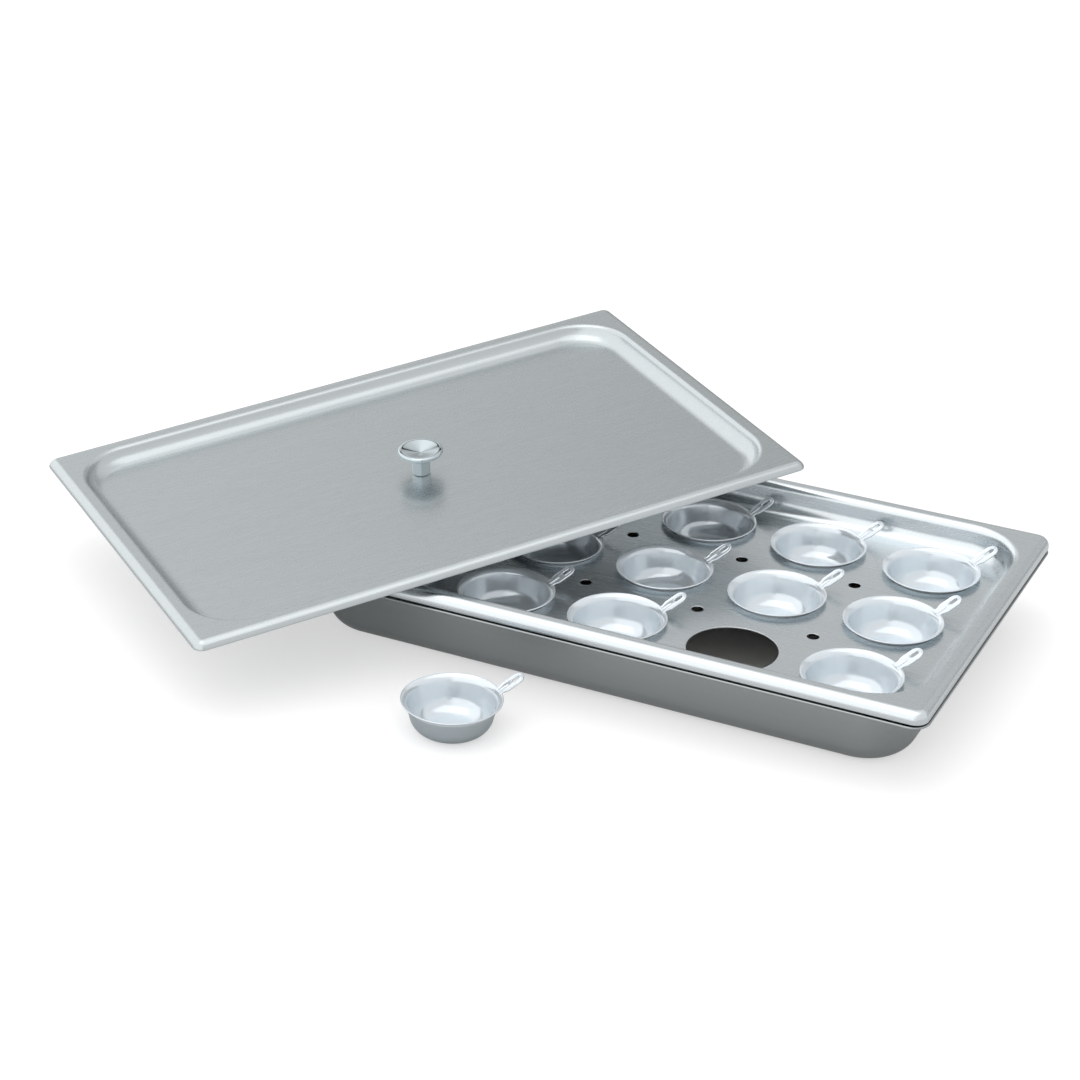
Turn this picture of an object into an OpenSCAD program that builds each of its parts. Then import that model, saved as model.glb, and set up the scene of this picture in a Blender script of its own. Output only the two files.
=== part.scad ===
// Egg poacher pan: a full-size steam pan, a tray of egg cups that lies on it, and a lid.
// All sizes are in millimetres. The origin is the centre of the pan's underside, X runs
// along the pan, Y runs across it and Z points up.

/* [Whole set] */
// Length of the pan over its flange
set_length = 530; // [516:1:600]
// Width of the pan over its flange
set_width = 325; // [320:1:400]
// Thickness of the sheet that the pan, the tray and the lid are pressed from
sheet = 1; // [0.8:0.1:1]
// Angle of the pan's and the tray's walls from upright
wall_lean = 9; // [6:0.1:9.6]

/* [Water pan] */
// Height of the pan from its underside to the top of its flange
pan_height = 57.7; // [56:0.1:150]
// Width of the pan's flange, from its edge to the inside of the wall
pan_flange_width = 16.8; // [15:0.1:18]
// Inside radius of the pan's upright corners at the flange
pan_corner = 46.4; // [42:0.1:60]
// Inside radius where the pan's wall meets its bottom
pan_cove = 19; // [10:1:30]
// Radius where the pan's flange bends down into its wall
pan_mouth_bend = 3; // [2:0.1:4]
// Thickness of the folded edge round the pan's flange
pan_hem = 2; // [2:0.1:4]
// How far the edge of the pan's flange is folded back under it
pan_hem_width = 6; // [4:0.5:8]
// Radius of the pan flange's outer corners
pan_flange_corner = 13.9; // [10:0.1:20]

/* [Cup tray] */
// How far the tray's edge stops inside the edge of the pan's flange
tray_inset = 0.7; // [0:0.1:1.5]
// Radius of the bend at the tray's turned-down edge
tray_edge_bend = 7; // [4:0.1:7.4]
// Height of the upright stretch below that bend
tray_edge_straight = 2.2; // [0.4:0.1:4]
// Clear space between the tray's edge and the pan's flange
tray_edge_gap = 1.6; // [0.4:0.1:3]
// Depth of the tray's panel below its flange
tray_depth = 22.5; // [21:0.1:26]
// Radius where the tray's flange bends down into its wall
tray_mouth_bend = 6; // [3:0.5:6]
// Radius where the tray's wall meets its panel
tray_cove = 11; // [4:0.5:12]
// Radius of the outer corners of the tray's flange
tray_flange_corner = 11; // [9:0.1:20]
// Clear space between the tray's wall and the pan's wall
wall_clearance = 0.4; // [0.3:0.1:1.5]
// Distance from the middles of the end cup holes to the end of the pan's flange
cup_end_margin = 76.9; // [75:0.1:80]
// Distance from the middles of the outer rows of holes to the side of the pan's flange
cup_side_margin = 68.45; // [66:0.05:70]
// Diameter of the cup holes
cup_hole_diameter = 69.4; // [66:0.1:72]
// Diameter of the steam holes
steam_hole_diameter = 9.5; // [6:0.5:14]

/* [Egg cups] */
// Height of a cup, from its base to its rim
cup_height = 27; // [24:0.5:32]
// Thickness of a cup's wall
cup_wall = 1; // [0.8:0.1:1.4]
// Outside radius where a cup's wall curves into its base
cup_bowl_radius = 15; // [10:0.2:17]
// Angle of a cup's wall from upright
cup_wall_lean = 14.5; // [12:0.1:20]
// Radius of the flare under a cup's rim
cup_flare_radius = 5.8; // [5:0.1:7]
// Angle of the cup's rim from level
cup_rim_lean = 16; // [8:1:30]
// Clear space between a cup's wall and its hole
cup_hole_clearance = 0.6; // [0.4:0.1:1.5]
// Clear space between a cup's flare and the edge of its hole
cup_seat_clearance = 0.35; // [0.3:0.05:1]
// Bearing of the cups' handles from the X axis
cup_handle_bearing = 45; // [40:1:50]

/* [Cup handles] */
// Length of a handle from the cup's rim to its tip
handle_length = 21.6; // [20:0.1:26]
// Width of a handle
handle_width = 12.5; // [9:0.5:14]
// Width of a handle's neck at the rim
handle_neck_width = 9; // [6:0.5:10]
// Length of a handle's neck
handle_neck_length = 3.2; // [2:0.2:6]
// Slope of a handle above level
handle_slope = 30.5; // [15:0.5:40]
// Thickness of a handle
handle_thickness = 1.2; // [0.8:0.1:2]
// Length of the hanging hole in a handle
hang_hole_length = 7; // [5:0.5:9]
// Width of the hanging hole in a handle
hang_hole_width = 4; // [3:0.5:5]
// Distance from the tip of a handle to the edge of its hanging hole
hang_hole_edge = 3.2; // [2:0.2:5]
// Width of the stiffening rib on a handle
handle_rib_width = 2.6; // [1.5:0.1:4]
// Length of the stiffening rib on a handle
handle_rib_length = 8.5; // [6:0.5:9]

/* [Lid] */
// Depth of the lid's panel below its flange
lid_depth = 11.5; // [11.2:0.1:12.4]
// How far the lid's edge stands out past the edge of the pan's flange, on each side
lid_overhang = 1; // [0:0.1:2]
// Radius of the bend at the lid's turned-down edge
lid_edge_bend = 7.5; // [4:0.1:7.8]
// Angle through which the lid's edge is bent down
lid_edge_angle = 74; // [60:1:90]
// Length of the straight stretch below that bend
lid_edge_straight = 0.4; // [0.2:0.1:2]
// Width of the lid's flange, from its edge to the line of the wall
lid_flange_width = 16.2; // [12:0.1:30]
// Radius of the upright corners of the lid's dish
lid_corner = 44.7; // [36:0.1:70]
// Angle of the lid's sloping wall from upright
lid_wall_lean = 22; // [20:0.5:50]
// Radius where the lid's flange bends down into its wall
lid_mouth_bend = 4; // [2:0.5:5]
// Radius where the lid's wall runs out into its panel
lid_cove = 13; // [8:0.5:14]
// Radius of the outer corners of the lid's flange
lid_flange_corner = 8.7; // [8.5:0.1:20]

/* [Lid knob] */
// Diameter of the knob
knob_diameter = 37; // [30:0.5:45]
// Height of the knob above the lid's panel
knob_height = 22.5; // [18:0.5:30]
// Diameter of the knob's stem
knob_stem_diameter = 14.5; // [10:0.5:18]
// Thickness of the knob's head at its rim
knob_rim = 4.6; // [3:0.2:6]
// Depth of the hollow cone in the top of the knob
knob_cone_depth = 3.8; // [2:0.2:6]
// Diameter of the screw that holds the knob
screw_diameter = 4.9; // [3.9:0.1:5.9]
// Length of the screw below its head
screw_length = 12; // [8:0.5:14]
// Clear space round the screw in the knob
screw_clearance = 0.05; // [0.05:0.01:0.1]
// Clear space round the screw in the lid and the washer
screw_hole_clearance = 0.3; // [0.2:0.05:0.5]
// Outer diameter of the washer
washer_diameter = 12; // [11:0.5:16]
// Thickness of the washer
washer_thickness = 1; // [0.8:0.1:2]

/* [How the pieces lie] */
// Middle of the lid along the pan
lid_x = -214.5; // [-217:0.1:-212]
// Middle of the lid across the pan
lid_y = -4.5; // [-6:0.1:-3]
// Height of the lid's flange above the tray's flange, in its middle
lid_lift = 28.8; // [28.6:0.1:60]
// Turn of the lid on the pan
lid_turn = 53.2; // [50:0.05:56]
// Slope of the lid down towards the front
lid_slope_front = 5.38; // [5:0.01:5.45]
// Slope of the lid down towards the left
lid_slope_side = 0.7; // [0.5:0.05:0.9]
// Place of the loose cup along the pan
loose_cup_x = -73.8; // [-100:0.1:100]
// Distance of the loose cup's middle in front of the pan's edge
loose_cup_front = 66.2; // [60:0.1:120]

/* [Hidden] */
cup_columns = 5;
cup_rows = 3;
// The cup that stands on the table came out of this place: fourth in the front row
loose_cup = 3;
cup_names = [for (i = [1 : cup_columns * cup_rows]) str("cup_", i < 10 ? "0" : "", i)];
lid_names = ["lid_cover", "lid_knob", "lid_knob_screw", "lid_knob_washer"];
$fn = 96;
// How far plates and swept walls of one pressing run into each other
lap = 0.5;
// Straight steps in each round stretch of a profile
arc_steps = 12;

// The tray's wall follows the pan's wall at the same angle
tray_length = set_length - 2 * tray_inset;
tray_width = set_width - 2 * tray_inset;
tray_rise = tray_edge_bend + tray_edge_straight + tray_edge_gap;
tray_wall_line = pan_flange_width + (sheet + wall_clearance) / cos(wall_lean) - tray_rise * tan(wall_lean);
tray_flange_width = tray_wall_line - tray_inset;
tray_corner = pan_corner + pan_flange_width - tray_wall_line;
tray_top = pan_height + tray_rise;
tray_panel = tray_top - tray_depth;
column_pitch = (set_length - 2 * cup_end_margin) / (cup_columns - 1);
row_pitch = (set_width - 2 * cup_side_margin) / (cup_rows - 1);
lid_length = set_length + 2 * lid_overhang;
lid_width = set_width + 2 * lid_overhang;

// A cup's profile, worked out from its hole: wall, flare and base
cup_wall_angle = 90 - cup_wall_lean;
cup_wall_radius = cup_hole_diameter / 2 - cup_hole_clearance;
cup_lip_height = cup_flare_radius * (cos(cup_rim_lean) - cos(cup_wall_angle));
cup_lip_reach = cup_flare_radius * (sin(cup_wall_angle) - sin(cup_rim_lean));
cup_flare_start = cup_height - cup_lip_height - cup_wall;
cup_bowl_rise = cup_bowl_radius * (1 - cos(cup_wall_angle));
cup_wall_run = (cup_flare_start - cup_bowl_rise) / tan(cup_wall_angle);
cup_base_radius = cup_wall_radius - cup_wall_run - cup_bowl_radius * sin(cup_wall_angle);
cup_rim_radius = cup_wall_radius + cup_lip_reach;
cup_flare_middle = [cup_wall_radius, cup_flare_start] + cup_flare_radius * [cos(cup_wall_lean), -sin(cup_wall_lean)];
cup_seat_angle = asin(sin(cup_wall_angle) - cup_hole_clearance / cup_flare_radius);
cup_seat = cup_flare_start + cup_flare_radius * (cos(cup_seat_angle) - cos(cup_wall_angle));
cup_seat_drop = cup_seat_clearance / cos(cup_seat_angle);
cup_floor = tray_panel - cup_seat + cup_seat_drop;

screw_head_diameter = screw_diameter * 1.9;
screw_head_height = screw_diameter * 0.62;
screw_slot = screw_diameter * 0.2;

// A flat rectangle with round corners, in the middle of the plane
module rounded_rectangle(length, width, corner) {
    square([length - 2 * corner, width], center = true);
    square([length, width - 2 * corner], center = true);
    for (x = [-1, 1], y = [-1, 1])
        translate([x * (length / 2 - corner), y * (width / 2 - corner)])
            circle(r = corner);
}

// A flat plate with round corners whose top face is at the given height
module rounded_plate(length, width, corner, top, thickness) {
    translate([0, 0, top - thickness])
        linear_extrude(thickness)
            rounded_rectangle(length, width, corner);
}

// Carries a profile once round a rectangle with round corners. The profile's X runs outwards
// from the rectangle's outline and its Y runs up.
module carry_round(length, width, corner) {
    for (x = [0, 1], y = [0, 1])
        mirror([x, 0, 0]) mirror([0, y, 0])
            translate([length / 2 - corner, width / 2 - corner, 0])
                rotate_extrude(angle = 90)
                    translate([corner, 0])
                        children();
    for (x = [0, 1])
        mirror([x, 0, 0])
            translate([length / 2, 0, 0])
                rotate([90, 0, 0])
                    linear_extrude(width - 2 * corner, center = true)
                        children();
    for (y = [0, 180])
        rotate([0, 0, 90 + y])
            translate([width / 2, 0, 0])
                rotate([90, 0, 0])
                    linear_extrude(length - 2 * corner, center = true)
                        children();
}

// Points along an arc from one angle to another
function arc(middle, radius, from, to) =
    [for (i = [0 : arc_steps]) middle + radius * [cos(from + (to - from) * i / arc_steps),
        sin(from + (to - from) * i / arc_steps)]];

function reversed(points) = [for (i = [len(points) - 1 : -1 : 0]) points[i]];

// Where the mouth's bend starts on the flange, outwards from the wall's line
function bend_start(bend, lean) = bend * (1 - sin(lean)) / cos(lean);

// Where the cove ends on the panel, inwards from the wall's line
function cove_end(cove, depth, lean) = (cove + (depth - cove) * sin(lean)) / cos(lean);

// One face of a pressed wall, from the flange down to the panel. The depth into the sheet is
// 0 on the upper face and the sheet's thickness on the lower face.
function wall_face(depth, bend, cove, lean, into) = concat(
    [[bend_start(bend, lean) + lap, -into]],
    arc([bend_start(bend, lean), -bend], bend - into, 90, 180 - lean),
    arc([-cove_end(cove, depth, lean), cove - depth], cove + into, -lean, -90),
    [[-cove_end(cove, depth, lean) - lap, -depth - into]]
);

// A pressing: a flat flange, a leaning wall with round corners and a flat panel. The flange runs
// from the wall's line out to where the edge starts, and the corner is the wall's own. The flat
// plates end in the middle of the lap.
module pressing(length, width, edge, edge_corner, flange, corner, depth, bend, cove, lean) {
    mouth_length = length - 2 * flange;
    mouth_width = width - 2 * flange;
    start = bend_start(bend, lean);
    finish = cove_end(cove, depth, lean);
    upper = wall_face(depth, bend, cove, lean, 0);
    lower = wall_face(depth, bend, cove, lean, sheet);
    rim = edge + lap / 2;
    mouth = start + lap / 2;
    base = finish + lap / 2;
    difference() {
        rounded_plate(length - 2 * rim, width - 2 * rim, edge_corner - rim, 0, sheet);
        rounded_plate(mouth_length + 2 * mouth, mouth_width + 2 * mouth, corner + mouth, 1, 2 * sheet + 1);
    }
    carry_round(mouth_length, mouth_width, corner)
        polygon(concat(upper, reversed(lower)));
    rounded_plate(mouth_length - 2 * base, mouth_width - 2 * base, corner - base, -depth, sheet);
}

// One face of a flange's edge that is bent down through an angle and then runs straight
function turned_face(bend, angle, straight, into) = concat(
    [[-bend - lap, -into]],
    arc([-bend, -bend], bend - into, 90, 90 - angle),
    [[-bend, -bend] + (bend - into) * [sin(angle), cos(angle)] + straight * [cos(angle), -sin(angle)]]
);

// Profile of a flange's edge that is bent down
module turned_edge_profile(bend, angle, straight) {
    polygon(concat(turned_face(bend, angle, straight, 0), reversed(turned_face(bend, angle, straight, sheet))));
}

// Profile of a flange's edge that is folded flat under itself
module folded_edge_profile() {
    polygon(concat(
        [[-pan_hem_width - lap, 0]],
        arc([-pan_hem / 2, -pan_hem / 2], pan_hem / 2, 90, -90),
        [[-pan_hem_width, -pan_hem], [-pan_hem_width, -sheet], [-pan_hem_width - lap, -sheet]]
    ));
}

module water_pan() {
    color("#8b8f91")
        translate([0, 0, pan_height]) {
            pressing(set_length, set_width, pan_hem_width, pan_flange_corner, pan_flange_width,
                pan_corner, pan_height - sheet, pan_mouth_bend, pan_cove, wall_lean);
            carry_round(set_length, set_width, pan_flange_corner)
                folded_edge_profile();
        }
}

// The columns and rows of holes, counted from the middle of the tray
function column_x(i) = (i - (cup_columns - 1) / 2) * column_pitch;
function row_y(i) = (i - (cup_rows - 1) / 2) * row_pitch;

module cup_tray() {
    color("#b4b8ba")
        translate([0, 0, tray_top]) {
            difference() {
                pressing(tray_length, tray_width, tray_edge_bend, tray_flange_corner, tray_flange_width,
                    tray_corner, tray_depth, tray_mouth_bend, tray_cove, wall_lean);
                for (i = [0 : cup_columns - 1], j = [0 : cup_rows - 1])
                    translate([column_x(i), row_y(j), -tray_depth - 2 * sheet])
                        cylinder(h = 3 * sheet, d = cup_hole_diameter);
                for (i = [0 : cup_columns - 2], j = [0 : cup_rows - 2])
                    translate([column_x(i + 0.5), row_y(j + 0.5), -tray_depth - 2 * sheet])
                        cylinder(h = 3 * sheet, d = steam_hole_diameter);
            }
            carry_round(tray_length, tray_width, tray_flange_corner)
                turned_edge_profile(tray_edge_bend, 90, tray_edge_straight);
        }
}

// One face of a cup's wall, from the middle of its base to its rim. The depth into the wall is
// 0 on the outer face and the wall's thickness on the inner face.
function cup_face(into) = concat(
    [[0, into]],
    arc([cup_base_radius, cup_bowl_radius], cup_bowl_radius - into, -90, -cup_wall_lean),
    arc(cup_flare_middle, cup_flare_radius + into, 180 - cup_wall_lean, 90 + cup_rim_lean)
);

// Profile of a cup's wall, with a round lip at its rim
module cup_profile() {
    lip_middle = cup_flare_middle + (cup_flare_radius + cup_wall / 2) * [-sin(cup_rim_lean), cos(cup_rim_lean)];
    lip = arc(lip_middle, cup_wall / 2, cup_rim_lean - 90, cup_rim_lean + 90);
    polygon(concat(cup_face(0), lip, reversed(cup_face(cup_wall))));
}

// Outline of a handle, which runs along X from the cup's rim
module handle_outline() {
    end_radius = handle_width / 2;
    translate([0, -handle_neck_width / 2])
        square([handle_length - end_radius, handle_neck_width]);
    translate([handle_neck_length, -handle_width / 2])
        square([handle_length - end_radius - handle_neck_length, handle_width]);
    translate([handle_length - end_radius, 0])
        circle(r = end_radius);
}

// Outline of the hanging hole, with round ends
module hang_hole_outline() {
    for (x = [hang_hole_width / 2, hang_hole_length - hang_hole_width / 2])
        translate([handle_length - hang_hole_edge - x, 0])
            circle(d = hang_hole_width);
    translate([handle_length - hang_hole_edge - hang_hole_length + hang_hole_width / 2, -hang_hole_width / 2])
        square([hang_hole_length - hang_hole_width, hang_hole_width]);
}

module cup_handle() {
    translate([cup_rim_radius - cup_wall, 0, cup_height - handle_thickness])
        rotate([0, -handle_slope, 0]) {
            linear_extrude(handle_thickness)
                difference() {
                    handle_outline();
                    hang_hole_outline();
                }
            translate([0, 0, handle_thickness - handle_rib_width / 4])
                rotate([0, 90, 0])
                    cylinder(h = handle_rib_length, d = handle_rib_width);
            translate([handle_rib_length, 0, handle_thickness - handle_rib_width / 4])
                sphere(d = handle_rib_width);
        }
}

module egg_cup() {
    color("#d9dee2") {
        rotate_extrude()
            cup_profile();
        rotate([0, 0, cup_handle_bearing])
            cup_handle();
    }
}

// A cup in its place: in its hole in the tray, or on the table in front
module placed_cup(i) {
    if (i == loose_cup)
        translate([loose_cup_x, -set_width / 2 - loose_cup_front, 0])
            egg_cup();
    else
        translate([column_x(i % cup_columns), row_y(floor(i / cup_columns)), cup_floor])
            egg_cup();
}

// Puts what belongs to the lid where the lid lies, askew on the tray
module on_lid() {
    translate([lid_x, lid_y, tray_top + lid_lift])
        rotate([lid_slope_front, -lid_slope_side, 0])
            rotate([0, 0, lid_turn])
                children();
}

module lid_cover() {
    color("#b9bfc2")
        on_lid() {
            difference() {
                pressing(lid_length, lid_width, lid_edge_bend, lid_flange_corner, lid_flange_width,
                    lid_corner, lid_depth, lid_mouth_bend, lid_cove, lid_wall_lean);
                translate([0, 0, -lid_depth - 2 * sheet])
                    cylinder(h = 3 * sheet, d = screw_diameter + 2 * screw_hole_clearance);
            }
            carry_round(lid_length, lid_width, lid_flange_corner)
                turned_edge_profile(lid_edge_bend, lid_edge_angle, lid_edge_straight);
        }
}

// Outline of half the knob, from its stem to the hollow cone in its top
module knob_profile() {
    stem_radius = knob_stem_diameter / 2;
    rim_middle = [(knob_diameter - knob_rim) / 2, knob_height - knob_rim / 2];
    polygon(concat(
        [[0, 0], [stem_radius, 0], [stem_radius, knob_height - knob_rim - stem_radius / 4]],
        arc(rim_middle, knob_rim / 2, -90, 90),
        [[0, knob_height - knob_cone_depth]]
    ));
}

module lid_knob() {
    bore_diameter = screw_diameter + 2 * screw_clearance;
    bore_depth = screw_length - sheet - washer_thickness + 1;
    color("#d5d9dc")
        on_lid()
            translate([0, 0, -lid_depth])
                difference() {
                    rotate_extrude()
                        knob_profile();
                    translate([0, 0, -1])
                        cylinder(h = bore_depth + 1, d = bore_diameter);
                }
}

module lid_knob_washer() {
    color("#9da1a3")
        on_lid()
            translate([0, 0, -lid_depth - sheet - washer_thickness])
                difference() {
                    cylinder(h = washer_thickness, d = washer_diameter);
                    translate([0, 0, -1])
                        cylinder(h = washer_thickness + 2, d = screw_diameter + 2 * screw_hole_clearance);
                }
}

module lid_knob_screw() {
    color("#9da1a3")
        on_lid()
            translate([0, 0, -lid_depth - sheet - washer_thickness]) {
                cylinder(h = screw_length, d = screw_diameter);
                translate([0, 0, -screw_head_height])
                    difference() {
                        cylinder(h = screw_head_height, d = screw_head_diameter);
                        for (turn = [0, 90])
                            rotate([0, 0, turn])
                                translate([-screw_head_diameter / 3, -screw_slot / 2, -1])
                                    cube([screw_head_diameter * 2 / 3, screw_slot, 1 + screw_head_height / 2]);
                    }
            }
}

water_pan();
cup_tray();
for (i = [0 : len(cup_names) - 1])
    placed_cup(i);
lid_cover();
lid_knob();
lid_knob_washer();
lid_knob_screw();
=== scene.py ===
from math import asin, cos, hypot, pi, radians, sin, tan

import bpy
from mathutils import Matrix, Vector
from mathutils.geometry import tessellate_polygon


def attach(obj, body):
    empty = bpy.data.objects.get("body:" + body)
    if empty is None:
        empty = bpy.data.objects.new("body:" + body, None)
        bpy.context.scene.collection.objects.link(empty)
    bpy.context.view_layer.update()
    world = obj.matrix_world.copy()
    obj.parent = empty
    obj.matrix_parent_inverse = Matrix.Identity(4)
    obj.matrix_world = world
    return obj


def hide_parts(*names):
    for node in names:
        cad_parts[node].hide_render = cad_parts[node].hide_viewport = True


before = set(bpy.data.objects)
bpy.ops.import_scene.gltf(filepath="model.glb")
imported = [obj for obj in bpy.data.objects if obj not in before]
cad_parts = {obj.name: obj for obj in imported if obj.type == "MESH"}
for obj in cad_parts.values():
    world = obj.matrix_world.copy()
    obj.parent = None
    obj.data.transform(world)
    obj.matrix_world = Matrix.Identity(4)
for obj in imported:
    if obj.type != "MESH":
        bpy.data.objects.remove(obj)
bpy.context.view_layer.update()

# The pieces are drawn in millimetres and made in metres.
MM = 0.001

# Whole set
SET_LENGTH = 530
SET_WIDTH = 325
SHEET = 1
WALL_LEAN = 9

# Water pan
PAN_HEIGHT = 57.7
PAN_FLANGE = 16.8
PAN_CORNER = 46.4
PAN_COVE = 19
PAN_BEND = 3
PAN_HEM = 2
PAN_HEM_WIDTH = 6
PAN_FLANGE_CORNER = 13.9

# Cup tray
TRAY_INSET = 0.7
TRAY_EDGE = (7, 90, 2.2)
TRAY_EDGE_GAP = 1.6
TRAY_DEPTH = 22.5
TRAY_BEND = 6
TRAY_COVE = 11
TRAY_FLANGE_CORNER = 11
WALL_CLEARANCE = 0.4
CUP_END_MARGIN = 76.9
CUP_SIDE_MARGIN = 68.45
CUP_HOLE = 69.4
STEAM_HOLE = 9.5
HOLE_EDGE = 0.3

# Egg cups
CUP_HEIGHT = 27
CUP_WALL = 1
CUP_BOWL = 15
CUP_LEAN = 14.5
CUP_FLARE = 5.8
CUP_RIM_LEAN = 16
CUP_HOLE_CLEARANCE = 0.6
CUP_SEAT_CLEARANCE = 0.35
HANDLE_BEARING = 45

# Cup handles
HANDLE_LENGTH = 21.6
HANDLE_WIDTH = 12.5
HANDLE_NECK = 9
HANDLE_SLOPE = 30.5
HANDLE_THICKNESS = 1.2
HANG_HOLE_LENGTH = 7
HANG_HOLE_WIDTH = 4
HANG_HOLE_EDGE = 3.2
RIB_WIDTH = 2.6
RIB_LENGTH = 8.5

# Lid
LID_DEPTH = 11.5
LID_OVERHANG = 1
LID_EDGE = (7.5, 74, 0.4)
LID_FLANGE = 16.2
LID_CORNER = 44.7
LID_LEAN = 22
LID_BEND = 4
LID_COVE = 13
LID_FLANGE_CORNER = 8.7

# Lid knob
KNOB_DIAMETER = 37
KNOB_HEIGHT = 22.5
KNOB_STEM = 14.5
KNOB_RIM = 4.6
KNOB_CONE = 3.8

# How the pieces lie
LID_PLACE = (-214.5, -4.5, 28.8)
LID_TURN = 53.2
LID_SLOPE_FRONT = 5.38
LID_SLOPE_SIDE = 0.7
LOOSE_CUP = 3
LOOSE_CUP_X = -73.8
LOOSE_CUP_FRONT = 66.2

# The studio
CAMERA_AZIMUTH = 27.927
CARD_WIDTH = 0.34
CARD_DISTANCE = 2.35
CARD_HEIGHT = 0.72

# Worked out from the sizes above
TRAY_RISE = TRAY_EDGE[0] + TRAY_EDGE[2] + TRAY_EDGE_GAP
TRAY_TOP = PAN_HEIGHT + TRAY_RISE
TRAY_PANEL = TRAY_TOP - TRAY_DEPTH
LEAN = radians(WALL_LEAN)
TRAY_WALL_LINE = PAN_FLANGE + (SHEET + WALL_CLEARANCE) / cos(LEAN) - TRAY_RISE * tan(LEAN)
TRAY_CORNER = PAN_CORNER + PAN_FLANGE - TRAY_WALL_LINE
COLUMN_PITCH = (SET_LENGTH - 2 * CUP_END_MARGIN) / 4
ROW_PITCH = (SET_WIDTH - 2 * CUP_SIDE_MARGIN) / 2

# Steps in a quarter turn of a pressing's corner and in a bend of its profile
CORNER_STEPS = 32
BEND_STEPS = 12


def arc(middle, radius, start, end, steps=BEND_STEPS):
    """Points along an arc, with its angles in degrees."""
    turns = [radians(start + (end - start) * i / steps) for i in range(steps + 1)]
    return [(middle[0] + radius * cos(a), middle[1] + radius * sin(a)) for a in turns]


class Shell:
    """The points and faces of one piece, in millimetres."""

    def __init__(self):
        self.points = []
        self.faces = []
        self.inside = []

    def ring(self, points, inside=0.0):
        first = len(self.points)
        self.points += [tuple(p) for p in points]
        self.inside += [inside] * len(points)
        return list(range(first, len(self.points)))

    def join(self, a, b):
        """Quads between two closed rings of as many points."""
        n = len(a)
        self.faces += [(a[i], a[(i + 1) % n], b[(i + 1) % n], b[i]) for i in range(n)]

    def join_all(self, rings, closed=False):
        for a, b in zip(rings, rings[1:]):
            self.join(a, b)
        if closed:
            self.join(rings[-1], rings[0])

    def fill(self, outer, holes=(), up=True):
        """Flat triangles inside one ring and outside the others."""
        loops = [outer, *holes]
        order = [i for loop in loops for i in loop]
        for triangle in tessellate_polygon([[Vector(self.points[i]) for i in loop] for loop in loops]):
            a, b, c = (order[i] for i in triangle)
            pa, pb, pc = (self.points[i] for i in (a, b, c))
            area = (pb[0] - pa[0]) * (pc[1] - pa[1]) - (pb[1] - pa[1]) * (pc[0] - pa[0])
            if abs(area) > 1e-9:
                self.faces.append((a, b, c) if (area > 0) == up else (a, c, b))

    def add(self, other, placing):
        """Puts another shell's points and faces into this one."""
        first = len(self.points)
        self.points += [tuple(placing @ Vector(p)) for p in other.points]
        self.inside += other.inside
        self.faces += [tuple(first + i for i in face) for face in other.faces]


def make_piece(name, shell, body, node, material, placing=Matrix(), marks=None):
    """Makes a shell into a piece that rides on a body and stands for a node of the frame. The marks
    are values at its points, by name, which its material reads."""
    mesh = bpy.data.meshes.new(name)
    mesh.from_pydata([(placing @ Vector(p)) * MM for p in shell.points], [], shell.faces)
    mesh.validate()
    mesh.shade_smooth()
    for mark, values in (marks or {}).items():
        mesh.attributes.new(mark, "FLOAT", "POINT").data.foreach_set("value", values)
    mesh.materials.append(material)
    mesh.update()
    piece = bpy.data.objects.new(name, mesh)
    bpy.context.scene.collection.objects.link(piece)
    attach(piece, body)
    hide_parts(node)
    return piece


# Pressed sheets: the pan, the tray and the lid

def outline(inset, corner, height, steps=CORNER_STEPS):
    """A rectangle with round corners, inset from the outline of the pan's flange."""
    x, y = SET_LENGTH / 2 - inset - corner, SET_WIDTH / 2 - inset - corner
    points = []
    for quarter, (sx, sy) in enumerate(((1, 1), (-1, 1), (-1, -1), (1, -1))):
        for i in range(steps + 1):
            a = (quarter + i / steps) * pi / 2
            points.append((sx * x + corner * cos(a), sy * y + corner * sin(a), height))
    return points


def bend_start(bend, lean):
    return bend * (1 - sin(lean)) / cos(lean)


def cove_end(cove, depth, lean):
    return (cove + (depth - cove) * sin(lean)) / cos(lean)


def wall_face(depth, bend, cove, lean, into):
    """One face of a pressed wall, from the flange to the panel, as steps out and up."""
    start, finish = bend_start(bend, radians(lean)), cove_end(cove, depth, radians(lean))
    face = [(start + 0.8, -into)]
    face += arc((start, -bend), bend - into, 90, 180 - lean)
    face += arc((-finish, cove - depth), cove + into, -lean, -90, 14)
    return face + [(-finish - 2, -depth - into)]


def edge_point(edge, into, down):
    """A point on the straight stretch below the bend of a turned-down edge."""
    bend, angle, _ = edge
    side, along = sin(radians(angle)), cos(radians(angle))
    return (-bend + (bend - into) * side + down * along, -bend + (bend - into) * along - down * side)


def turned_edge(edge, into):
    """One face of a turned-down edge, from its lip up and over to the flange."""
    bend, angle, straight = edge
    face = [edge_point(edge, into, straight - 0.3)] + arc((-bend, -bend), bend - into, 90 - angle, 90)
    return face + [(-bend - 0.5, -into)]


def edge_rings(shell, face, inset, corner, top, inside=0.0):
    return [shell.ring(outline(inset - out, corner + out, top + up), inside) for out, up in face]


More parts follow.
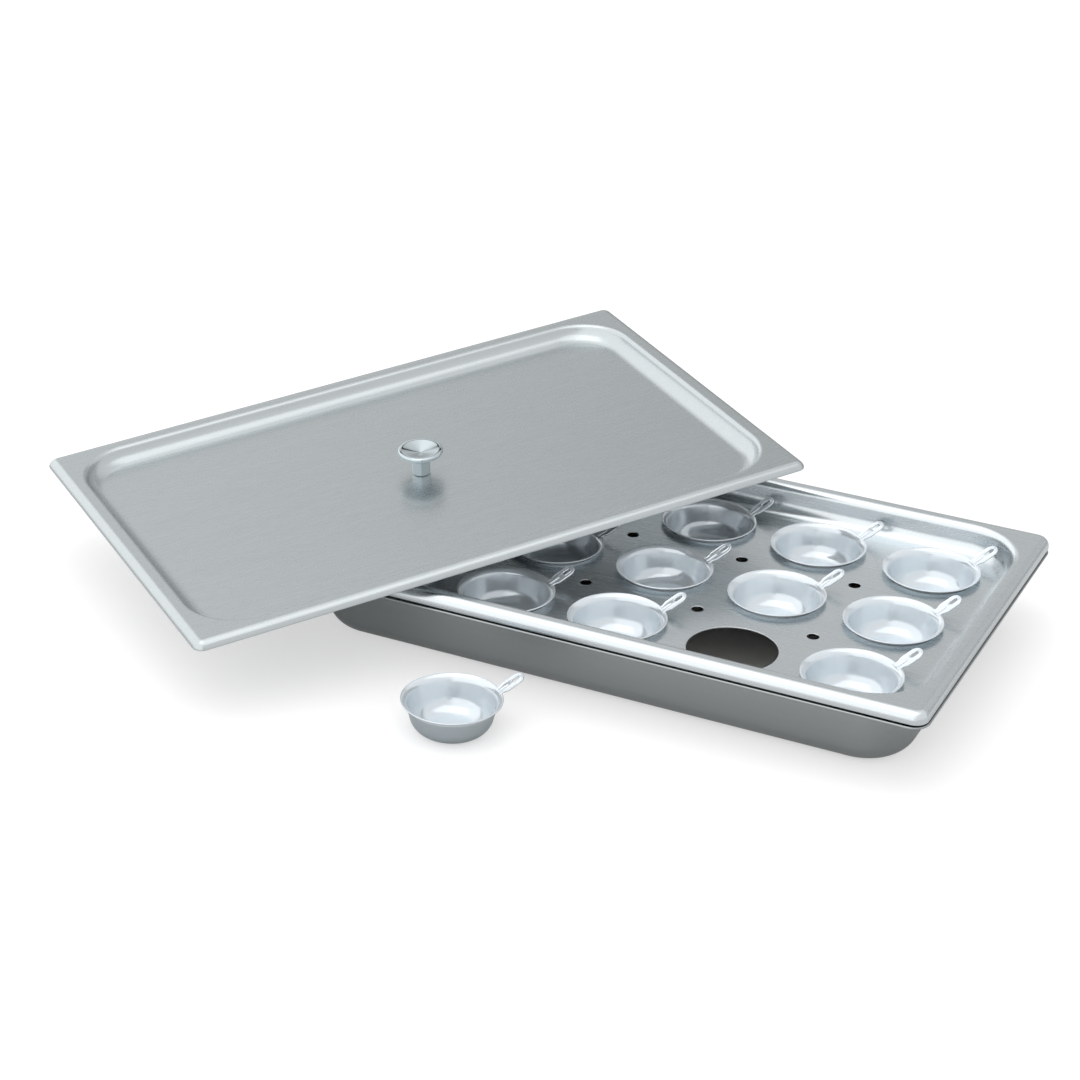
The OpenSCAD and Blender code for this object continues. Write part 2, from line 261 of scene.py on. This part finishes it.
def pressing(inset, edge, edge_corner, line, corner, depth, bend, cove, lean, top, holes=()):
    """A sheet with a turned-down edge, a flat flange, a sloping wall and a flat panel with round
    holes. The inset and the wall's line are counted inwards from the pan's outline."""
    shell = Shell()
    straight = edge[2]
    lip = [edge_point(edge, 0.12, straight - 0.09), edge_point(edge, SHEET / 2, straight), edge_point(edge, SHEET - 0.12, straight - 0.09)]
    upper = edge_rings(shell, turned_edge(edge, 0), inset, edge_corner, top)
    upper += edge_rings(shell, wall_face(depth, bend, cove, lean, 0), line, corner, top)
    lower = edge_rings(shell, turned_edge(edge, SHEET), inset, edge_corner, top)
    lower += edge_rings(shell, wall_face(depth, bend, cove, lean, SHEET), line, corner, top)
    lip_rings = edge_rings(shell, lip, inset, edge_corner, top)
    shell.join_all(lower[::-1] + lip_rings[::-1] + upper)
    panel = top - depth
    edges_up, edges_down = [], []
    for x, y, radius in holes:
        round_rings = [shell.ring(circle(x, y, radius + out, panel + up)) for out, up in hole_edge()]
        shell.join_all(round_rings)
        edges_up.append(round_rings[0])
        edges_down.append(round_rings[-1])
    shell.fill(upper[-1], edges_up, True)
    shell.fill(lower[-1], edges_down, False)
    return shell


def circle(x, y, radius, height):
    steps = 96 if radius > 20 else 40
    return [(x + radius * cos(2 * pi * i / steps), y + radius * sin(2 * pi * i / steps), height) for i in range(steps)]


def hole_edge():
    """The worn edge of a punched hole, from the top of the sheet to its underside."""
    upper = arc((HOLE_EDGE, -HOLE_EDGE), HOLE_EDGE, 90, 180, 4)
    return [(1.1, 0)] + upper + [(out, -SHEET - up) for out, up in reversed(upper)] + [(1.1, -SHEET)]


def water_pan():
    shell = Shell()
    depth = PAN_HEIGHT - SHEET
    half = PAN_HEM / 2
    hem = arc((-half, -half), half, -90, 90) + [(-PAN_HEM_WIDTH - 0.5, 0)]
    upper = edge_rings(shell, hem, 0, PAN_FLANGE_CORNER, PAN_HEIGHT)
    upper += edge_rings(shell, wall_face(depth, PAN_BEND, PAN_COVE, WALL_LEAN, 0), PAN_FLANGE, PAN_CORNER, PAN_HEIGHT, 1.0)
    fold = [(-PAN_HEM_WIDTH + 0.2, -PAN_HEM), (-PAN_HEM_WIDTH, -PAN_HEM + 0.2), (-PAN_HEM_WIDTH, -SHEET), (-PAN_HEM_WIDTH - 0.5, -SHEET)]
    lower = edge_rings(shell, fold, 0, PAN_FLANGE_CORNER, PAN_HEIGHT)
    lower += edge_rings(shell, wall_face(depth, PAN_BEND, PAN_COVE, WALL_LEAN, SHEET), PAN_FLANGE, PAN_CORNER, PAN_HEIGHT)
    shell.join_all(lower[::-1] + upper)
    shell.fill(upper[-1])
    shell.fill(lower[-1], up=False)
    return shell


def cup_place(i):
    return ((i % 5) - 2) * COLUMN_PITCH, ((i // 5) - 1) * ROW_PITCH


def cup_tray():
    holes = [(*cup_place(i), CUP_HOLE / 2) for i in range(15)]
    holes += [((i - 1.5) * COLUMN_PITCH, (j - 0.5) * ROW_PITCH, STEAM_HOLE / 2) for i in range(4) for j in range(2)]
    return pressing(TRAY_INSET, TRAY_EDGE, TRAY_FLANGE_CORNER, TRAY_WALL_LINE, TRAY_CORNER,
                    TRAY_DEPTH, TRAY_BEND, TRAY_COVE, WALL_LEAN, TRAY_TOP, holes)


def lid_cover():
    return pressing(-LID_OVERHANG, LID_EDGE, LID_FLANGE_CORNER, LID_FLANGE - LID_OVERHANG, LID_CORNER,
                    LID_DEPTH, LID_BEND, LID_COVE, LID_LEAN, 0)


def lid_placing():
    x, y, lift = LID_PLACE
    slope = Matrix.Rotation(radians(-LID_SLOPE_SIDE), 4, "Y") @ Matrix.Rotation(radians(LID_SLOPE_FRONT), 4, "X")
    return Matrix.Translation((x, y, TRAY_TOP + lift)) @ slope @ Matrix.Rotation(radians(LID_TURN), 4, "Z")


# Turned pieces: the egg cups and the knob

def turned(profile, steps, inside_from=None):
    """A closed shell from a profile that runs from the axis outwards, up and back to the axis. Its
    points are inside from the given place in the profile."""
    shell = Shell()
    turns = [2 * pi * i / steps for i in range(steps)]
    rings = []
    for i, (r, z) in enumerate(profile):
        inside = 0.0 if inside_from is None or i < inside_from else 1.0
        rings.append(shell.ring([(r * cos(a), r * sin(a), z) for a in (turns if r else [0])], inside))
    for a, b in zip(rings, rings[1:]):
        if len(a) > 1 and len(b) > 1:
            shell.join(a, b)
        for i in range(steps):
            j = (i + 1) % steps
            if len(a) == 1:
                shell.faces.append((a[0], b[j], b[i]))
            elif len(b) == 1:
                shell.faces.append((a[i], a[j], b[0]))
    return shell


def cup_sizes():
    """The cup's profile, worked out from the hole that it hangs in."""
    angle = radians(90 - CUP_LEAN)
    wall = CUP_HOLE / 2 - CUP_HOLE_CLEARANCE
    lip_height = CUP_FLARE * (cos(radians(CUP_RIM_LEAN)) - cos(angle))
    start = CUP_HEIGHT - lip_height - CUP_WALL
    run = (start - CUP_BOWL * (1 - cos(angle))) / tan(angle)
    base = wall - run - CUP_BOWL * sin(angle)
    middle = (wall + CUP_FLARE * cos(radians(CUP_LEAN)), start - CUP_FLARE * sin(radians(CUP_LEAN)))
    rim = wall + CUP_FLARE * (sin(angle) - sin(radians(CUP_RIM_LEAN)))
    seat_angle = asin(sin(angle) - CUP_HOLE_CLEARANCE / CUP_FLARE)
    seat = start + CUP_FLARE * (cos(seat_angle) - cos(angle))
    floor = TRAY_PANEL - seat + CUP_SEAT_CLEARANCE / cos(seat_angle)
    return base, middle, rim, floor


def cup_bowl():
    base, middle, _, _ = cup_sizes()

    def face(into):
        points = [(0, into), (base * 0.5, into), (base - 1.5, into)]
        points += arc((base, CUP_BOWL), CUP_BOWL - into, -90, -CUP_LEAN, 16)
        return points + arc(middle, CUP_FLARE + into, 180 - CUP_LEAN, 90 + CUP_RIM_LEAN)

    lean = radians(CUP_RIM_LEAN)
    reach = CUP_FLARE + CUP_WALL / 2
    lip_middle = (middle[0] - reach * sin(lean), middle[1] + reach * cos(lean))
    lip = arc(lip_middle, CUP_WALL / 2, CUP_RIM_LEAN - 90, CUP_RIM_LEAN + 90, 8)
    outer = face(0)
    return turned(outer + lip[1:-1] + face(CUP_WALL)[::-1], 96, len(outer) - BEND_STEPS)


def handle_outline(inset):
    """The outline of a handle along X from the cup's rim, inset from its edge."""
    half, neck = HANDLE_WIDTH / 2, HANDLE_NECK / 2
    end = HANDLE_LENGTH - half
    side = [(-2.0, neck + 0.8), (-1.0, neck + 0.35), (0, neck + 0.1)]
    for i in range(9):
        t = i / 8
        side.append((1.4 + 4.6 * t, neck + (half - neck) * (3 * t * t - 2 * t * t * t)))
    tip = arc((end, 0), half, 90, -90, 28)
    points = side + tip + [(x, -y) for x, y in reversed(side)]
    inner = []
    for i, (x, y) in enumerate(points):
        before, after = points[i - 1] if i else (x - 1, y), points[(i + 1) % len(points)] if i + 1 < len(points) else (x - 1, y)
        dx, dy = after[0] - before[0], after[1] - before[1]
        size = hypot(dx, dy)
        inner.append((x + dy / size * inset, y - dx / size * inset))
    return inner[::-1]


def hang_hole_outline(outset):
    """The outline of the hanging hole, with round ends."""
    radius = HANG_HOLE_WIDTH / 2
    far = HANDLE_LENGTH - HANG_HOLE_EDGE - radius
    near = far - HANG_HOLE_LENGTH + HANG_HOLE_WIDTH
    return arc((far, 0), radius + outset, -90, 90, 14) + arc((near, 0), radius + outset, 90, 270, 14)


def cup_handle():
    """A flat strap with a raised edge, a raised ring round its hanging hole, and a rib."""
    t = HANDLE_THICKNESS
    bead = [(0, -t * 0.5), (0.05, -0.2), (0.25, 0.1), (0.55, 0.22), (0.85, 0.1), (1.1, -0.15), (1.35, -0.3), (1.7, -0.3)]
    under = [(1.7, -t), (0.5, -t), (0.15, -t + 0.15)]
    shell = Shell()
    # The strap's top is marked inside and takes the cup's inner colour. Its underside keeps the greyer outer colour,
    # which is painted shade.
    outer = [shell.ring([(x, y, z) for x, y in handle_outline(inset)], 1.0) for inset, z in bead]
    outer_under = [shell.ring([(x, y, z) for x, y in handle_outline(inset)]) for inset, z in under]
    shell.join_all(outer_under + outer)
    inner = [shell.ring([(x, y, z) for x, y in hang_hole_outline(out)], 1.0) for out, z in bead[:-1]]
    inner_under = [shell.ring([(x, y, z) for x, y in hang_hole_outline(out)]) for out, z in [(1.35, -t)] + under[1:]]
    shell.join_all((inner_under + inner)[::-1])
    shell.fill(outer[-1], [inner[-1]], True)
    shell.fill(outer_under[0], [inner_under[0]], False)
    rib = turned([(0, -1)] + [(RIB_WIDTH / 2 * sin(pi * i / 12) ** 0.5, -cos(pi * i / 12)) for i in range(1, 12)] + [(0, 1)], 20, 0)
    half = (RIB_LENGTH + 2) / 2
    lay = Matrix.Translation((half - 2, 0, -0.3)) @ Matrix.Diagonal((half, 1, 0.75, 1)) @ Matrix.Rotation(pi / 2, 4, "Y")
    shell.add(rib, lay)
    return shell


def egg_cup():
    _, _, rim, _ = cup_sizes()
    shell = cup_bowl()
    bearing = Matrix.Rotation(radians(HANDLE_BEARING), 4, "Z")
    root = Matrix.Translation((rim - CUP_WALL, 0, CUP_HEIGHT))
    slope = Matrix.Rotation(radians(-HANDLE_SLOPE), 4, "Y")
    shell.add(cup_handle(), bearing @ root @ slope)
    return shell


def knob():
    stem, radius = KNOB_STEM / 2, KNOB_DIAMETER / 2
    rim = (radius - KNOB_RIM / 2, KNOB_HEIGHT - KNOB_RIM / 2)
    neck = KNOB_HEIGHT - KNOB_RIM
    profile = [(0, 0), (stem - 0.6, 0), (stem - 0.3, 0.15), (stem, 0.5), (stem, 1.5), (stem, neck - 3)]
    profile += arc((stem + 1.6, neck - 1.9), 1.6, 180, 100, 6)
    profile += arc(rim, KNOB_RIM / 2, -90, 66, 14)
    profile += [(radius - 4.2, KNOB_HEIGHT - 0.55), (radius * 0.4, KNOB_HEIGHT - KNOB_CONE * 0.62), (1.0, KNOB_HEIGHT - KNOB_CONE + 0.2), (0, KNOB_HEIGHT - KNOB_CONE)]
    return turned(profile, 96)


# Materials

def colour(code):
    """A linear colour from an sRGB hex value."""
    parts = [int(code[i : i + 2], 16) / 255 for i in (1, 3, 5)]
    return tuple(c / 12.92 if c <= 0.04045 else ((c + 0.055) / 1.055) ** 2.4 for c in parts) + (1.0,)


def add_node(tree, kind, settings=None, inputs=None):
    """Adds a node, with its settings, its socket values and its links."""
    node = tree.nodes.new(kind)
    for name, value in (settings or {}).items():
        setattr(node, name, value)
    for name, value in (inputs or {}).items():
        socket = node.inputs[name]
        if isinstance(value, bpy.types.NodeSocket):
            tree.links.new(value, socket)
        else:
            socket.default_value = value
    return node


def new_material(name):
    material = bpy.data.materials.new(name)
    material.use_nodes = True
    tree = material.node_tree
    tree.nodes.clear()
    return material, tree


def brushed_stainless(name, outer, inner, roughness, turn, grain):
    """Stainless steel sheet with a satin finish: fine scratches all one way along the sheet, which
    stretch a highlight across them, and a faint unevenness left by the press. The points marked
    as inside take the second colour and a duller finish."""
    material, tree = new_material(name)
    place = add_node(tree, "ShaderNodeTexCoord")
    inside = add_node(tree, "ShaderNodeAttribute", {"attribute_name": "inside"})
    along = add_node(tree, "ShaderNodeMapping", inputs={
        "Vector": place.outputs["Object"], "Rotation": (0, 0, radians(-turn))})
    # The scratches of a 180 grit belt are about 0.1 mm wide. They are drawn 0.9 mm wide, to show.
    stretched = add_node(tree, "ShaderNodeVectorMath", {"operation": "MULTIPLY"}, {
        0: along.outputs["Vector"], 1: (12, 1100, 1100)})
    scratches = add_node(tree, "ShaderNodeTexNoise", inputs={
        "Vector": stretched.outputs["Vector"], "Scale": 1.0, "Detail": 2.0})
    # The press leaves soft waves about 90 mm long.
    waves = add_node(tree, "ShaderNodeTexNoise", inputs={
        "Vector": place.outputs["Object"], "Scale": 11.0, "Detail": 1.0})
    rough = add_node(tree, "ShaderNodeMapRange", inputs={
        "Value": scratches.outputs["Fac"], "From Min": 0.3, "From Max": 0.7,
        "To Min": roughness[0] - 0.015, "To Max": roughness[0] + 0.015})
    duller = add_node(tree, "ShaderNodeMath", {"operation": "MULTIPLY_ADD"}, {
        0: inside.outputs["Fac"], 1: roughness[1] - roughness[0], 2: rough.outputs["Result"]})
    # Points marked inside take the second colour and lose most of their metal. On the pan this pale colour is painted
    # light, which brightens its shaded inside.
    bare = add_node(tree, "ShaderNodeMath", {"operation": "MULTIPLY_ADD"}, {0: inside.outputs["Fac"], 1: -0.7, 2: 1.0})
    shade = add_node(tree, "ShaderNodeMix", {"data_type": "RGBA"}, {"Factor": inside.outputs["Fac"]})
    shade.inputs[6].default_value = colour(outer)
    shade.inputs[7].default_value = colour(inner)
    # Streaks about 4 mm wide and 200 mm long, where the belt bit deeper
    banded = add_node(tree, "ShaderNodeVectorMath", {"operation": "MULTIPLY"}, {
        0: along.outputs["Vector"], 1: (5, 250, 250)})
    streaks = add_node(tree, "ShaderNodeTexNoise", inputs={
        "Vector": banded.outputs["Vector"], "Scale": 1.0, "Detail": 4.0, "Roughness": 0.7})
    paler = add_node(tree, "ShaderNodeMapRange", inputs={
        "Value": streaks.outputs["Fac"], "From Min": 0.25, "From Max": 0.75, "To Min": 0.965, "To Max": 1.02})
    streaked = add_node(tree, "ShaderNodeVectorMath", {"operation": "SCALE"}, {
        0: shade.outputs[2], "Scale": paler.outputs["Result"]})
    scored = add_node(tree, "ShaderNodeBump", inputs={
        "Height": scratches.outputs["Fac"], "Strength": grain, "Distance": 0.00004})
    uneven = add_node(tree, "ShaderNodeBump", inputs={
        "Height": waves.outputs["Fac"], "Strength": 0.2, "Distance": 0.0004, "Normal": scored.outputs["Normal"]})
    steel = add_node(tree, "ShaderNodeBsdfPrincipled", inputs={
        "Metallic": bare.outputs["Value"], "Base Color": streaked.outputs["Vector"], "Roughness": duller.outputs["Value"], "Normal": uneven.outputs["Normal"]})
    add_node(tree, "ShaderNodeOutputMaterial", inputs={"Surface": steel.outputs["BSDF"]})
    return material


def spun_aluminium(name, outer, inner, roughness):
    """Spun aluminium with fine rings round its middle: bright and bluish white inside, under a milky
    anodised film, and left dull as it came off the lathe outside, where its greyer colour is painted shade for the
    shadowed floor that the outside mirrors."""
    material, tree = new_material(name)
    ring = add_node(tree, "ShaderNodeAttribute", {"attribute_name": "from_axis"})
    inside = add_node(tree, "ShaderNodeAttribute", {"attribute_name": "inside"})
    # The rings that the spinning tool leaves are about 0.2 mm apart. They are drawn 0.7 mm apart, to show.
    lines = add_node(tree, "ShaderNodeTexNoise", {"noise_dimensions": "1D"}, {
        "W": ring.outputs["Fac"], "Scale": 1400.0, "Detail": 1.0})
    place = add_node(tree, "ShaderNodeTexCoord")
    haze = add_node(tree, "ShaderNodeTexNoise", inputs={
        "Vector": place.outputs["Object"], "Scale": 60.0, "Detail": 3.0})
    rough = add_node(tree, "ShaderNodeMapRange", inputs={
        "Value": haze.outputs["Fac"], "From Min": 0.3, "From Max": 0.7,
        "To Min": roughness[0] - 0.015, "To Max": roughness[0] + 0.02})
    brighter = add_node(tree, "ShaderNodeMath", {"operation": "MULTIPLY_ADD"}, {
        0: inside.outputs["Fac"], 1: roughness[1] - roughness[0], 2: rough.outputs["Result"]})
    shade = add_node(tree, "ShaderNodeMix", {"data_type": "RGBA"}, {"Factor": inside.outputs["Fac"]})
    shade.inputs[6].default_value = colour(outer)
    shade.inputs[7].default_value = colour(inner)
    bump = add_node(tree, "ShaderNodeBump", inputs={
        "Height": lines.outputs["Fac"], "Strength": 0.25, "Distance": 0.00003})
    bare = add_node(tree, "ShaderNodeMath", {"operation": "MULTIPLY_ADD"}, {0: inside.outputs["Fac"], 1: -0.5, 2: 1.0})
    metal = add_node(tree, "ShaderNodeBsdfPrincipled", inputs={
        "Metallic": bare.outputs["Value"], "Base Color": shade.outputs[2], "Roughness": brighter.outputs["Value"], "Normal": bump.outputs["Normal"]})
    add_node(tree, "ShaderNodeOutputMaterial", inputs={"Surface": metal.outputs["BSDF"]})
    return material


def polished_chrome(name):
    """Chrome plate on a turned and polished knob: a clear mirror, a little hazy where it is handled."""
    material, tree = new_material(name)
    place = add_node(tree, "ShaderNodeTexCoord")
    haze = add_node(tree, "ShaderNodeTexNoise", inputs={
        "Vector": place.outputs["Object"], "Scale": 140.0, "Detail": 3.0})
    rough = add_node(tree, "ShaderNodeMapRange", inputs={
        "Value": haze.outputs["Fac"], "From Min": 0.4, "From Max": 0.8, "To Min": 0.03, "To Max": 0.07})
    chrome = add_node(tree, "ShaderNodeBsdfPrincipled", inputs={
        "Metallic": 1.0, "Base Color": colour("#bcc6ca"), "Roughness": rough.outputs["Result"]})
    add_node(tree, "ShaderNodeOutputMaterial", inputs={"Surface": chrome.outputs["BSDF"]})
    return material


# The studio

def light_studio():
    """A white room, brightest overhead and behind the camera, and a large soft lamp overhead."""
    world = bpy.data.worlds.new("surround")
    bpy.context.scene.world = world
    world.use_nodes = True
    tree = world.node_tree
    tree.nodes.clear()
    place = add_node(tree, "ShaderNodeTexCoord")
    azimuth = radians(CAMERA_AZIMUTH)
    ahead = add_node(tree, "ShaderNodeVectorMath", {"operation": "DOT_PRODUCT"}, {
        0: place.outputs["Generated"], 1: (-sin(azimuth), cos(azimuth), 0)})
    split = add_node(tree, "ShaderNodeSeparateXYZ", inputs={"Vector": place.outputs["Generated"]})
    # 0 at the level beyond the pan, 0.5 overhead and 1 at the level behind the camera
    around = add_node(tree, "ShaderNodeMath", {"operation": "ARCTAN2"}, {0: split.outputs["Z"], 1: ahead.outputs["Value"]})
    share = add_node(tree, "ShaderNodeMath", {"operation": "DIVIDE"}, {0: around.outputs["Value"], 1: pi})
    ceiling = add_ramp(tree, share.outputs["Value"], (
        (0.0, 0.3), (0.08, 0.5), (0.14, 0.78), (0.165, 0.74), (0.187, 0.58), (0.193, 0.04), (0.206, 0.04), (0.214, 0.7),
        (0.26, 0.95), (0.3, 1.0), (0.92, 1.0), (0.97, 0.92), (1.0, 0.75)))
    # Negative to the left of the camera's line and positive to its right
    aside = add_node(tree, "ShaderNodeVectorMath", {"operation": "DOT_PRODUCT"}, {
        0: place.outputs["Generated"], 1: (cos(azimuth), sin(azimuth), 0)})
    aside = add_node(tree, "ShaderNodeMath", {"operation": "ADD"}, {0: aside.outputs["Value"], 1: 0.5})
    window = add_ramp(tree, aside.outputs["Value"], ((0.2, 1.0), (0.32, 0.0)))
    shade = add_ramp(tree, aside.outputs["Value"], ((0.4, 1.0), (0.62, 0.68)))
    shaded = add_node(tree, "ShaderNodeMath", {"operation": "MULTIPLY"}, {0: ceiling, 1: shade})
    bright = add_node(tree, "ShaderNodeMath", {"operation": "MAXIMUM"}, {0: shaded.outputs["Value"], 1: window})
    back = add_node(tree, "ShaderNodeBackground", inputs={"Color": bright.outputs["Value"], "Strength": 1.45})
    add_node(tree, "ShaderNodeOutputWorld", inputs={"Surface": back.outputs["Background"]})

    lamp = bpy.data.lights.new("overhead", "AREA")
    lamp.shape = "RECTANGLE"
    lamp.size, lamp.size_y = 2.4, 1.8
    lamp.energy = 9
    light = bpy.data.objects.new("overhead", lamp)
    light.location = (0.05, -0.3, 2.2)
    bpy.context.scene.collection.objects.link(light)


def add_ramp(tree, value, stops):
    """A ramp of greys over a value."""
    ramp = add_node(tree, "ShaderNodeValToRGB", inputs={"Fac": value})
    while len(ramp.color_ramp.elements) < len(stops):
        ramp.color_ramp.elements.new(0.5)
    for element, (at, level) in zip(ramp.color_ramp.elements, stops):
        element.position = at
        element.color = (level, level, level, 1)
    return ramp.outputs["Color"]


def make_plate(name, corners, material):
    """A flat plate of the studio, which isn't part of the object."""
    mesh = bpy.data.meshes.new(name)
    mesh.from_pydata(corners, [], [(0, 1, 2, 3)])
    mesh.materials.append(material)
    plate = bpy.data.objects.new(name, mesh)
    bpy.context.scene.collection.objects.link(plate)
    return plate


def lay_floor():
    """White paper. Part of its white is its own, so that it stays white under the lid."""
    material, tree = new_material("white_floor")
    paper = add_node(tree, "ShaderNodeBsdfDiffuse", inputs={"Color": colour("#c0c0c0")})
    path = add_node(tree, "ShaderNodeLightPath")
    mirrored = add_node(tree, "ShaderNodeMath", {"operation": "MAXIMUM"}, {0: path.outputs["Is Glossy Ray"], 1: path.outputs["Is Transmission Ray"]})
    mirrored = add_node(tree, "ShaderNodeMath", {"operation": "MULTIPLY"}, {0: mirrored.outputs["Value"], 1: 0.1})
    level = add_node(tree, "ShaderNodeMath", {"operation": "MULTIPLY_ADD"}, {0: path.outputs["Is Camera Ray"], 1: 0.5, 2: mirrored.outputs["Value"]})
    glow = add_node(tree, "ShaderNodeEmission", inputs={"Color": (1, 1, 1, 1), "Strength": level.outputs["Value"]})
    both = add_node(tree, "ShaderNodeAddShader", inputs={0: paper.outputs["BSDF"], 1: glow.outputs["Emission"]})
    add_node(tree, "ShaderNodeOutputMaterial", inputs={"Surface": both.outputs["Shader"]})
    make_plate("floor", [(-6, -6, -0.0002), (6, -6, -0.0002), (6, 6, -0.0002), (-6, 6, -0.0002)], material)


def hang_card():
    """The dark side of the camera's stand, which the cups and the knob mirror as a small dark square."""
    material, tree = new_material("dark_card")
    card = add_node(tree, "ShaderNodeBsdfDiffuse", inputs={"Color": colour("#1d1d1f")})
    add_node(tree, "ShaderNodeOutputMaterial", inputs={"Surface": card.outputs["BSDF"]})
    azimuth, half = radians(CAMERA_AZIMUTH), CARD_WIDTH / 2
    middle = Vector((sin(azimuth), -cos(azimuth), 0)) * CARD_DISTANCE + Vector((0, 0, CARD_HEIGHT))
    across, up = Vector((cos(azimuth), sin(azimuth), 0)) * half, Vector((0, 0, half))
    plate = make_plate("dark_card", [middle - across - up, middle + across - up, middle + across + up, middle - across + up], material)
    plate.visible_camera = False


def set_camera():
    """The photograph's view: 27.9 degrees from the pan's end-on line and 26.9 degrees above level."""
    azimuth, elevation, distance = radians(CAMERA_AZIMUTH), radians(26.887), 2.2335
    camera = bpy.data.objects.new("camera", bpy.data.cameras.new("camera"))
    camera.data.sensor_width = 36
    camera.data.lens = 94.146
    camera.data.shift_x = 0.15785
    camera.data.clip_end = 50
    ahead = Vector((-sin(azimuth) * cos(elevation), cos(azimuth) * cos(elevation), -sin(elevation)))
    camera.location = Vector((-0.21067, -0.10089, 0.0685)) - ahead * distance
    camera.rotation_euler = (pi / 2 - elevation, 0, azimuth)
    bpy.context.scene.collection.objects.link(camera)
    bpy.context.scene.camera = camera


def build():
    # The pan's outer colour is darker than the tray's. This is painted shade for the shadowed floor that its walls
    # mirror. Its pale inner colour is painted light that brightens its shaded inside.
    pan_steel = brushed_stainless("satin_stainless_pan", "#a4a8a9", "#e2e0dc", (0.3, 0.5), 0, 0.04)
    tray_steel = brushed_stainless("satin_stainless_tray", "#d2d8db", "#d2d8db", (0.28, 0.28), 0, 0.02)
    lid_steel = brushed_stainless("satin_stainless_lid", "#bcc2c4", "#bcc2c4", (0.28, 0.28), LID_TURN, 0.02)
    fixing_steel = brushed_stainless("plain_stainless_fixing", "#babdbf", "#babdbf", (0.3, 0.3), LID_TURN, 0.1)
    # The cup's outer colour is darker than its inner one. This is painted shade for the shadowed floor that the outside
    # mirrors.
    aluminium = spun_aluminium("spun_aluminium_cup", "#b8c1c6", "#d6dde2", (0.33, 0.15))
    chrome = polished_chrome("polished_chrome_knob")

    pan = water_pan()
    make_piece("steel_water_pan", pan, "pan", "water_pan", pan_steel, marks={"inside": pan.inside})
    make_piece("steel_cup_tray", cup_tray(), "tray", "cup_tray", tray_steel)

    cup = egg_cup()
    marks = {"inside": cup.inside, "from_axis": [hypot(x, y) * MM for x, y, _ in cup.points]}
    floor = cup_sizes()[3]
    for i in range(15):
        name = f"cup_{i + 1:02d}"
        place = (*cup_place(i), floor)
        if i == LOOSE_CUP:
            place = (LOOSE_CUP_X, -SET_WIDTH / 2 - LOOSE_CUP_FRONT, 0)
        make_piece("egg_" + name, cup, name, name, aluminium, Matrix.Translation(place), marks)

    on_lid = lid_placing()
    panel = on_lid @ Matrix.Translation((0, 0, -LID_DEPTH))
    make_piece("steel_lid_cover", lid_cover(), "lid", "lid_cover", lid_steel, on_lid)
    make_piece("chrome_lid_knob", knob(), "lid", "lid_knob", chrome, panel)
    for node in ("lid_knob_screw", "lid_knob_washer"):
        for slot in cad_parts[node].material_slots:
            slot.material = fixing_steel


scene = bpy.context.scene
scene.view_settings.view_transform = "Standard"
set_camera()
light_studio()
lay_floor()
hang_card()
build()
